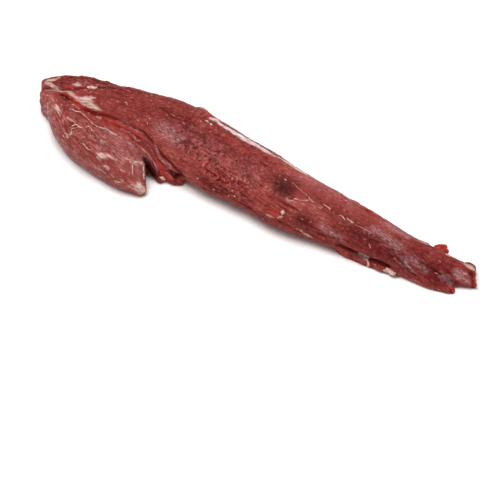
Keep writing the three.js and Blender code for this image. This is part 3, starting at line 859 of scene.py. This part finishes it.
# Lean meat's own tone varies with its streaks, fibres, mottle and grit; shade is painted into its
# furrows and into the pits of the torn meat, and its crests are painted lighter.
tone = mark["tone"]
for pattern, weight in (
        (streaks, 0.38), (fibres, 0.22), (mottle, 0.32), (pits, 0.5), (grit, 0.25),
        (mark["height"], 0.1)):
    tone = node(tree, MATH, {0: pattern, 1: weight, 2: tone}, operation="MULTIPLY_ADD")
meat = node(tree, RAMP, {"Fac": tone}, stops=(
    (0.21, "#430f0e"), (0.41, "#6c1f1d"), (0.55, "#883530"), (0.69, "#9b443e"), (0.86, "#bb6b62")))

# Over it come pale flecks along the fibres, partly pale fibre ends and partly painted glints, then
# bright cuts, bruises, and painted shade in the seams, slits and grooves, with near-black painted
# shade in the gap that also darkens the cores of the bruises. The painted sheen is a cool pale
# highlight along the fibres where the clear wet sheath lies, and marbling lies where the noise of
# the veins is near its middle.
# Pale flecks: partly pale fibre ends and partly painted glints.
flecks_and_glints = node(tree, RANGE, {"Value": fibres, "From Min": 0.64, "From Max": 0.7, "To Max": 0.6})
# Bruises, and painted shade in the seams, slits and grooves.
bruise_and_shade_share = node(tree, RANGE, {"Value": mark["deep"], "To Max": 0.85})
# Near-black painted shade in the gap at the side muscle's cut end, and the darkest bruise cores.
black_bruise_and_shade = node(tree, RANGE, {
    "Value": mark["deep"], "From Min": 1.0, "From Max": 2.0, "To Max": 0.9})
# The painted sheen: a pale highlight along the fibres, painted into the colour.
sheen = node(tree, RANGE, {
    "Value": fibres, "From Min": 0.43, "From Max": 0.61, "To Min": 0.1, "To Max": 0.8})
sheen = node(tree, MATH, {0: mark["haze"], 1: sheen}, operation="MULTIPLY")
from_vein = node(tree, MATH, {0: veins, 1: 0.5}, operation="SUBTRACT")
from_vein = node(tree, MATH, {0: from_vein}, operation="ABSOLUTE")
marbling = node(tree, RANGE, {
    "Value": from_vein, "From Min": 0.05, "From Max": 0.01, "To Max": 0.55})
for share in (mark["marbled"], mottle):
    marbling = node(tree, MATH, {0: marbling, 1: share}, operation="MULTIPLY")
for share, colour in (
        (flecks_and_glints, "#c48f88"), (mark["bright"], "#b23029"), (bruise_and_shade_share, "#490e0d"),
        (black_bruise_and_shade, "#160504"), (sheen, "#c8a3a4"), (marbling, "#d2a8a0")):
    meat = node(tree, MIX, {0: share, 6: meat, 7: linear(colour)}, data_type="RGBA")

# Films of tendon are cream and silverskin is grey to white, the white partly its own colour and
# partly painted reflection, with edges frayed along the fibres.
film_edge = mark["film"]
for pattern, weight in ((grit, 4.0), (fibres, 4.0), (streaks, 6.0)):
    film_edge = node(tree, MATH, {0: pattern, 1: weight, 2: film_edge}, operation="MULTIPLY_ADD")
film_share = node(tree, RANGE, {
    "Value": film_edge, "From Min": 8.0, "From Max": 6.0, "To Max": 0.88})
tendon = node(tree, RAMP, {"Fac": streaks}, stops=(
    (0.34, "#935c54"), (0.5, "#c8a094"), (0.64, "#e2cfc4")))
# The white end of this ramp is partly painted reflection.
silver = node(tree, RAMP, {"Fac": streaks}, stops=(
    (0.36, "#ad8885"), (0.47, "#d8c6c3"), (0.58, "#f8f2f1")))
film = node(tree, MIX, {0: mark["silver"], 6: tendon, 7: silver}, data_type="RGBA")
meat = node(tree, MIX, {0: film_share, 6: meat, 7: film}, data_type="RGBA")

# Juice wets the crests of the fibres and of the torn meat, which glint.
gloss = node(tree, RANGE, {
    "Value": fibres, "From Min": 0.54, "From Max": 0.68, "To Min": 0.06, "To Max": 0.8})
crests = node(tree, RANGE, {"Value": pits, "From Min": 0.04, "From Max": 0.09, "To Max": 0.7})
gloss = node(tree, MATH, {0: gloss, 1: crests}, operation="ADD")
rough = node(tree, RANGE, {
    "Value": fibres, "From Min": 0.5, "From Max": 0.66, "To Min": 0.45, "To Max": 0.22})
rise = fibres
for pattern, weight in ((grit, 0.8), (streaks, 1.2), (pits, 3.2)):
    rise = node(tree, MATH, {0: pattern, 1: weight, 2: rise}, operation="MULTIPLY_ADD")
bump = node(tree, BUMP, {"Strength": 0.6, "Distance": 0.001, "Height": rise})
shader = node(tree, SHADER, {
    "Base Color": meat,
    "Roughness": rough,
    "IOR": 1.4,
    "Specular IOR Level": gloss,
    "Subsurface Weight": 0.12,
    "Subsurface Radius": (1.0, 0.35, 0.25),
    "Subsurface Scale": 0.002,
    "Normal": bump,
})
node(tree, OUTPUT, {"Surface": shader})

skin.data.materials.clear()
skin.data.materials.append(raw_beef)
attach(skin, "root")
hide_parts("tenderloin")


# The sinew.
# Threads and ribbons of silverskin that the knife left, and hair-fine scraps of it over the head: a
# pale, satiny sheath of collagen fibres, stuck to the meat with its own moisture. Each thread is
# half its width, its thickness, and its route over the finished skin.
WITHIN = 8  # only the skin's points this near, in millimetres, are looked at
WAVER_LENGTH = 2.6  # a ribbon's edges waver about this often, in millimetres


def on_skin(places, reach=1.3):
    """Where places would lie on the skin, and which way is out there: means of the skin's points
    and normals, weighted by exp(-(distance / reach)^2), and the place moved along that normal."""
    low, high = places.min(axis=0) - WITHIN, places.max(axis=0) + WITHIN
    close = np.all((skin_points > low) & (skin_points < high), axis=1)
    points, normals = skin_points[close], skin_normals[close]
    square = np.sum((places[:, None] - points[None]) ** 2, axis=-1)
    weight = np.exp(-(square - square.min(axis=1, keepdims=True)) / reach**2)
    weight /= weight.sum(axis=1, keepdims=True)
    outward = weight @ normals
    outward /= np.linalg.norm(outward, axis=1, keepdims=True)
    height = np.sum((weight @ points - places) * outward, axis=1, keepdims=True)
    return places + height * outward, outward


def ribbon(half, thick, route, lift=0.0, waver=0.4, around=10, step=0.8):
    """An oval profile carried along a smooth line through places on the skin. It is 2 * half wide
    along the skin, thick across it, and narrows to a point at its ends as (1 - t^4)^0.5 does. Its
    width and thickness waver by a share of themselves."""
    route = np.column_stack([route, np.broadcast_to(half, len(route))]).astype(float)
    length = np.linalg.norm(np.diff(route[:, :3], axis=0), axis=1).sum()
    count = max(9, int(length / step))
    share = np.linspace(0, 1, count)
    line = flow(route, share)
    middle, outward = on_skin(line[:, :3], reach=3)
    run = np.gradient(middle, axis=0)
    run /= np.linalg.norm(run, axis=1, keepdims=True)
    sideways = np.cross(outward, run)
    taper = np.sqrt(np.maximum(0, 1 - (2 * share - 1) ** 4))
    angle = np.linspace(0, 2 * np.pi, around, endpoint=False)
    along_line, side = np.broadcast_arrays(share[:, None] * length, np.sign(np.cos(angle)))
    ragged = np.stack([along_line / WAVER_LENGTH, 1.7 * side, line[:, :1] / 3 + 0 * side], axis=-1)
    edge = 1 + waver * noise(ragged.reshape(-1, 3), seed=11).reshape(count, around)
    across = (line[:, 3] * taper)[:, None] * np.cos(angle) * edge
    flat = (middle[:, None] + sideways[:, None] * across[..., None]).reshape(-1, 3)
    laid, outward = on_skin(flat)
    up = lift + 0.5 * thick * taper[:, None] * np.sin(angle) * edge
    laid = (laid + outward * up.reshape(-1, 1)).reshape(count, around, 3)
    laid[[0, -1]] = laid[[0, -1]].mean(axis=1, keepdims=True)
    return closed_form(np.dstack([laid, along_line, across]))


THREADS = [
    # along the seam between the side muscle and the band
    (0.75, 0.9, [
        (-217, -16, 46), (-212, -15, 47), (-207, -16, 47), (-201, -15, 47), (-192, -18, 47),
        (-184, -21, 47)]),
    (0.7, 0.8, [(-184, -21, 47), (-176, -24, 46), (-169, -23, 45), (-164, -22, 44)]),
    (0.5, 0.7, [(-224, -12, 46), (-217, -8, 46), (-208, -9, 47), (-202, -14, 48)]),
    # down the head's near side
    (0.5, 0.7, [(-249, -6, 41), (-243, -10, 43), (-238, -14, 45)]),
    (0.6, 0.8, [(-241, -17, 42), (-236, -20, 44), (-227, -25, 46), (-216, -33, 46)]),
    # curls on the side muscle
    (0.7, 1.0, [
        (-198, -43, 47), (-196, -42, 48), (-193, -38, 50), (-191, -37, 50), (-187, -39, 50),
        (-181, -39, 50)]),
    (0.75, 1.0, [
        (-187, -39, 50), (-191, -42, 49), (-194, -44, 48), (-193, -47, 45), (-194, -49, 42),
        (-201, -48, 40), (-204, -47, 40)]),
    (0.5, 0.7, [
        (-180, -38, 50), (-178, -33, 50), (-175, -33, 50), (-171, -36, 49), (-166, -35, 49)]),
    (0.6, 0.8, [(-177, -54, 42), (-171, -55, 43), (-165, -57, 41), (-159, -57, 41)]),
    # round the cut end of the side muscle
    ((0.5, 0.8, 1.3, 1.4, 1.2, 0.8), 1.4, [
        (-123, -48, 42), (-118, -47, 40), (-112, -44, 38), (-109, -41, 34), (-106, -37, 32),
        (-108, -29, 25)]),
    ((0.7, 1.0, 0.8, 0.4), 1.1, [
        (-111, -45, 36), (-110, -48, 33), (-107, -53, 29), (-105, -53, 26)]),
    (0.4, 0.7, [(-104, -51, 24), (-100, -51, 19), (-97, -53, 15)]),
    ((0.7, 1.2, 1.3, 1.0, 0.7), 1.6, [
        (-108, -28, 23), (-103, -36, 27), (-100, -40, 23), (-98, -44, 20), (-97, -46, 17)]),
    # over the crown of the head
    (0.6, 0.8, [(-158, 10, 62), (-156, 11, 62), (-153, 9, 62), (-154, 7, 61)]),
    # along the middle
    (0.2, 0.35, [(60, 6, 50), (73, 1, 49), (87, -3, 48)]),
    (0.55, 0.7, [
        (67, -15, 47), (71, -18, 46), (75, -16, 46), (76, -13, 47), (83, -12, 47), (90, -8, 47),
        (93, -4, 48)]),
    (0.55, 0.7, [(87, -3, 48), (92, -7, 47), (97, -7, 47)]),
    (0.32, 0.5, [(102, -8, 47), (107, -8, 46), (106, -11, 46), (103, -10, 46)]),
    ((0.5, 0.7, 1.2), 1.2, [(106, -5, 47), (111, -5, 46), (117, -7, 45)]),
    ((0.6, 0.8, 0.6), 1.1, [(127, -8, 43), (131, -7, 43), (136, -10, 42)]),
    ((0.6, 0.9, 0.7), 1.1, [(136, -7, 42), (142, -8, 42), (146, -8, 41)]),
    (0.35, 0.5, [(147, -9, 41), (158, -8, 39), (166, -8, 38), (165, -11, 37)]),
    (0.5, 0.7, [(169, -18, 30), (172, -19, 29), (172, -20, 27)]),
    (0.5, 0.7, [(244, -9, 19), (246, -9, 18.5), (248, -8, 18)]),
    # on the far side
    (0.5, 0.7, [(-120, 63, 40), (-112, 64, 36), (-108, 64, 30), (-100, 65, 26)]),
    (0.4, 0.6, [(20, 48, 30), (30, 46, 26), (44, 44, 24), (52, 42, 25)]),
    (0.5, 0.7, [(120, 33, 26), (128, 32, 22), (140, 31, 20)]),
]
SHRUNK = 0.85  # the threads have drawn together to this share of the widths above
HAIRS = 170
HAIRY_HEIGHTS = (8, 1e3, 6)  # from, to, and over what it fades
HAIRY_ALL_OVER = 0.25  # how likely a hair is elsewhere, where one on the head is 1 more
HEAD = [(1, 34, [(-230, 5, 48), (-180, 5, 56), (-120, 8, 60), (-90, 15, 58)])]


def scrap(middle, rng, reach, half, thick, lift=(0, 0), spread=0.5):
    """A short ribbon stuck down about a place on the skin, roughly along the fibres. Its half
    length, half width, thickness and lift are each drawn from a range in millimetres."""
    angle, bend = rng.normal(0, spread), rng.normal(0, 0.6)
    heading = np.array([np.cos(angle), np.sin(angle), 0])
    sideways = np.array([-np.sin(angle), np.cos(angle), 0])
    reach = rng.uniform(*reach)
    route = middle + np.array([-reach * heading, bend * sideways, reach * heading])
    return ribbon(rng.uniform(*half), rng.uniform(*thick), route, rng.uniform(*lift), waver=0.8)


def scattered(count, likely, rng):
    """Places on the skin drawn at random, each as likely as its share of an array's sum."""
    return skin_points[rng.choice(len(likely), count, replace=False, p=likely / likely.sum())]


hairy = window(skin_points[:, 2], *HAIRY_HEIGHTS) * (HAIRY_ALL_OVER + soft(HEAD))
rng = np.random.default_rng(30)
sinew_forms = [ribbon(SHRUNK * np.array(half), *row, waver=0.9) for half, *row in THREADS]
sinew_forms += [
    scrap(middle, rng, (0.9, 2.8), (0.16, 0.34), (0.5, 0.8), spread=0.7)
    for middle in scattered(HAIRS, hairy, rng)
]
sinew_form = joined(sinew_forms)
sinew = object_of("sinew", *sinew_form)
shade_smooth(sinew.data)
keep_on_points(sinew.data, "grain", np.column_stack([sinew_form[0][:, 3:], sinew_form[0][:, 1]]))

# Silverskin: a wet sheet of collagen that was pulled tight and torn, so it is pale and satiny, with
# fibres 1.5 mm wide along it, and pink where it is thin enough to show the meat.
silverskin, tree = new_material("silverskin")
grain = node(tree, ATTRIBUTE, output="Vector", attribute_name="grain")
lines = node(tree, LINES, {"Vector": grain, "Scale": (1 / 5, 1 / 1.5, 1 / 5)})
fibres = node(tree, NOISE, {"Vector": lines, "Scale": 1.0, "Detail": 3.0, "Roughness": 0.6})
sheath = node(tree, RAMP, {"Fac": fibres}, stops=(
    (0.34, "#9a4f48"), (0.5, "#c1938a"), (0.68, "#dcc4bb")))
bump = node(tree, BUMP, {"Strength": 0.5, "Distance": 0.0004, "Height": fibres})
shader = node(tree, SHADER, {
    "Base Color": sheath,
    "Roughness": 0.36,
    "IOR": 1.42,
    "Specular IOR Level": 0.3,
    "Subsurface Weight": 0.1,
    "Subsurface Scale": 0.002,
    "Normal": bump,
})
node(tree, OUTPUT, {"Surface": shader})
sinew.data.materials.append(silverskin)
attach(sinew, "root")

# The fat.
# Crumbs and tags of hard white kidney fat that the knife missed: waxy, cream, a little pink where
# it meets the meat. Each row is half its width, its thickness, and its route over the skin.
FAT = [
    ((1.0, 2.6, 2.2, 0.7), 1.0, [(-217, 20, 53), (-211, 21, 54), (-208, 21, 55), (-203, 22, 57)]),
    ((0.9, 1.9, 0.9), 1.9, [(-89, -27, 11), (-86, -25, 8), (-84, -23, 4)]),
    ((0.7, 1.3, 0.7), 1.2, [(-67, 36, 57), (-64.5, 36, 57), (-62, 35, 57)]),
    ((0.8, 1.6, 0.8), 1.3, [(-60, 35, 57), (-58, 34, 57), (-56, 33, 57)]),
    (0.6, 0.8, [(-71, 31, 58), (-69, 31, 58)]),
    ((1.2, 1.9, 1.0), 1.6, [(-84, 60, 45), (-81, 59, 46), (-78, 57, 48)]),
    ((1.0, 2.0, 1.0), 1.5, [(-66, 62, 26), (-62, 61, 24), (-57, 60, 23)]),
    ((0.6, 1.1, 0.6), 1.1, [(62, 41, 20), (65, 40.5, 19), (69, 40, 19)]),
    ((0.6, 1.2, 0.7), 1.1, [(-176, 58, 22), (-173, 58, 21), (-169, 59, 21)]),
    ((1.0, 2.2, 1.2), 2.0, [(68, -29, 37), (70, -29, 36.5), (73, -28, 36)]),
    (0.9, 1.0, [(10, -22, 41), (12, -22, 41)]),
    (0.7, 0.9, [(0, -19, 45), (2, -19, 45)]),
    (0.6, 0.8, [(-41, -26, 30), (-39, -26, 30)]),
    (0.6, 0.8, [(-20, -28, 24), (-17, -28, 24)]),
    (0.6, 0.8, [(8, -27, 29), (10, -27, 29)]),
    (0.6, 0.8, [(0, -27, 25), (2, -27, 25)]),
    ((0.8, 1.7, 0.9), 1.6, [(243, 17, 23), (246, 18, 22.5), (249, 18, 22)]),
    ((1.4, 3.3, 3.3, 1.2), 3, [(190, -21, 5), (195, -21, 6), (200, -21, 6), (205, -20, 7)]),
    (0.9, 1.4, [(167, -21, 10), (170, -21, 9), (173, -22, 6), (172, -22, 2), (174, -23, 1)]),
    (0.7, 0.9, [(-199, -50, 39), (-197, -50, 39)]),
    (0.8, 0.9, [(-197, -51, 38), (-195, -51, 38)]),
    (0.7, 0.9, [(-205, -49, 35), (-203, -49, 35)]),
    (1.2, 1.2, [(-179, -33, 50), (-177, -33, 50)]),
    (0.8, 0.9, [(-155, -43, 47), (-153, -43, 47)]),
    (0.6, 0.7, [(53, 5, 51), (56, 4, 50)]),
]
fat_form = joined([ribbon(*row, lift=0.15, waver=0.7, step=0.5) for row in FAT])
fat = object_of("fat", *fat_form)
shade_smooth(fat.data)

# Hard fat: waxy and cut dull by the knife, so it is cream with soft broad highlights, lets light
# in, and has a crumb of 2 mm.
hard_fat, tree = new_material("hard_fat")
place = node(tree, PLACE, output="Object")
grit = node(tree, NOISE, {"Vector": place, "Scale": 1 / 0.002, "Detail": 2.0})
cream = node(tree, RAMP, {"Fac": grit}, stops=(
    (0.34, "#b57d70"), (0.5, "#cda697"), (0.68, "#e3cfc2")))
bump = node(tree, BUMP, {"Strength": 0.5, "Distance": 0.0005, "Height": grit})
shader = node(tree, SHADER, {
    "Base Color": cream,
    "Roughness": 0.45,
    "IOR": 1.46,
    "Subsurface Weight": 0.25,
    "Subsurface Scale": 0.002,
    "Normal": bump,
})
node(tree, OUTPUT, {"Surface": shader})
fat.data.materials.append(hard_fat)
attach(fat, "root")

# The rags.
# Tongues of the same meat that hang where the silverskin was pulled off, torn along the fibre, and
# small flakes round them. Each row is half its width, its thickness, and its route over the skin.
RAGS = [
    ((1.0, 1.9, 2.3, 1.6, 0.7), 2.6, [
        (-34, -7, 51), (-35, -13, 47), (-37, -17, 44), (-33, -21, 41), (-30, -24, 36)]),
    ((1.0, 1.5, 1.5, 1.0), 2.2, [(-20, -19, 44), (-16, -21, 43), (-16, -22, 40), (-22, -24, 35)]),
    ((0.8, 1.5, 0.9), 1.8, [(-23, -14, 47), (-20, -14, 48), (-17, -13, 48)]),
    ((0.7, 0.9, 0.5), 1.4, [(-7, -18, 45), (0, -22, 41), (5, -25, 35)]),
    ((0.7, 1.4, 0.7), 1.7, [(-14, -19, 44), (-6, -22, 41), (-1, -22, 41)]),
    ((0.8, 1.4, 0.8), 1.7, [(5, -20, 42), (8, -21, 42), (12, -21, 41)]),
    ((0.8, 1.3, 0.8), 1.5, [(-24, 3, 53), (-22, 1, 53), (-21, -1, 53)]),
    ((0.6, 1.2, 0.6), 1.5, [(6, -22, 41), (14, -23, 40), (22, -24, 38)]),
]
FLAKES = 125
# A tongue's height mark is raised, so it is painted lighter like a crest that catches the light;
# its bright mark makes it redder.
RAISED = {"height": 0.3, "bright": 0.32}  # how much lighter and redder a tongue is than the meat
OF_A_FLAKE = 0.4  # the share of that which a flake has


def nearest_on_skin(places):
    """For each place, the number of the skin point nearest to it."""
    low, high = places.min(axis=0) - WITHIN, places.max(axis=0) + WITHIN
    close = np.flatnonzero(np.all((skin_points > low) & (skin_points < high), axis=1))
    square = np.sum((places[:, None] - skin_points[close][None]) ** 2, axis=-1)
    return close[square.argmin(axis=1)]


rng = np.random.default_rng(31)
rag_forms = [ribbon(*row, lift=1.3, waver=0.6) for row in RAGS]
rag_forms += [
    scrap(middle, rng, (1.4, 3.6), (0.45, 1.05), (0.8, 1.4), (0.1, 0.5))
    for middle in scattered(FLAKES, torn**1.5, rng)
]
nearest = np.concatenate([nearest_on_skin(points[:, :3]) for points, _ in rag_forms])
share = [1.0] * len(RAGS) + [OF_A_FLAKE] * FLAKES
share = np.repeat(share, [len(points) for points, _ in rag_forms])
rags = object_of("rags", *joined(rag_forms))
shade_smooth(rags.data)
for name, values in MARKS.items():
    values = values[nearest]
    if name in RAISED:
        values = values + share * RAISED[name]
    keep_on_points(rags.data, name, values)
rags.data.materials.append(raw_beef)
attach(rags, "root")

# The floor.
# A plain pale studio table that the meat lies on, matt and almost white.
HALF_FLOOR = 3000
FLOOR_GAP = 0.2  # the floor is this much below the meat, so that their faces don't fall together
floor_corners = HALF_FLOOR * np.array([(-1, -1, 0), (1, -1, 0), (1, 1, 0), (-1, 1, 0)])
floor = object_of("pale_floor", floor_corners - (0, 0, FLOOR_GAP), np.array([(0, 1, 2, 3)]))
pale = bpy.data.materials.new("pale_matt_paint")
pale.use_nodes = True
paint = pale.node_tree.nodes["Principled BSDF"].inputs
paint["Base Color"].default_value = linear("#f7f6f5")
paint["Roughness"].default_value = 0.9
floor.data.materials.append(pale)

# The light.
# A wide soft box overhead, a little in front and towards the butt end, with even white light from
# all round.
KEY_AT = Vector((-0.25, -0.35, 2.4))
KEY_WATTS = 62
KEY_SIZE = 1.6
ROOM_LIGHT = 0.42
key_data = bpy.data.lights.new("soft_box", "AREA")
key_data.energy = KEY_WATTS
key_data.size = KEY_SIZE
key = bpy.data.objects.new("soft_box", key_data)
key.location = KEY_AT
key.rotation_euler = (-KEY_AT).to_track_quat("-Z", "Y").to_euler()
bpy.context.scene.collection.objects.link(key)
world = bpy.data.worlds.new("studio")
world.use_nodes = True
walls = world.node_tree.nodes["Background"].inputs
walls["Color"].default_value = (1, 1, 1, 1)
walls["Strength"].default_value = ROOM_LIGHT
bpy.context.scene.world = world

# The camera.
# Two metres away, looking down at 45 degrees from the tail's side, through a long lens.
AZIMUTH = np.radians(31)
ELEVATION = np.radians(45)
DISTANCE = 2.0
MM_PER_PIXEL = 1.10  # at the object, in the 480 pixel frame
FRAME_PIXELS = 480
SENSOR_MM = 36
AIM_FROM = Vector((0.018, 0.008, 0.025))  # lies off the frame's middle by the next two
RIGHT_OF_MIDDLE = 18 * MM_PER_PIXEL * MM
ABOVE_MIDDLE = 57 * MM_PER_PIXEL * MM
back = Vector((
    np.sin(AZIMUTH) * np.cos(ELEVATION),
    -np.cos(AZIMUTH) * np.cos(ELEVATION),
    np.sin(ELEVATION),
))
turned = back.to_track_quat("Z", "Y")
aim = AIM_FROM - turned @ Vector((RIGHT_OF_MIDDLE, ABOVE_MIDDLE, 0))
camera_data = bpy.data.cameras.new("camera")
camera_data.sensor_width = SENSOR_MM
camera_data.lens = SENSOR_MM * DISTANCE / (MM_PER_PIXEL * MM * FRAME_PIXELS)
camera = bpy.data.objects.new("camera", camera_data)
camera.location = aim + back * DISTANCE
camera.rotation_euler = turned.to_euler()
bpy.context.scene.collection.objects.link(camera)
bpy.context.scene.camera = camera
bpy.context.scene.view_settings.view_transform = "Standard"
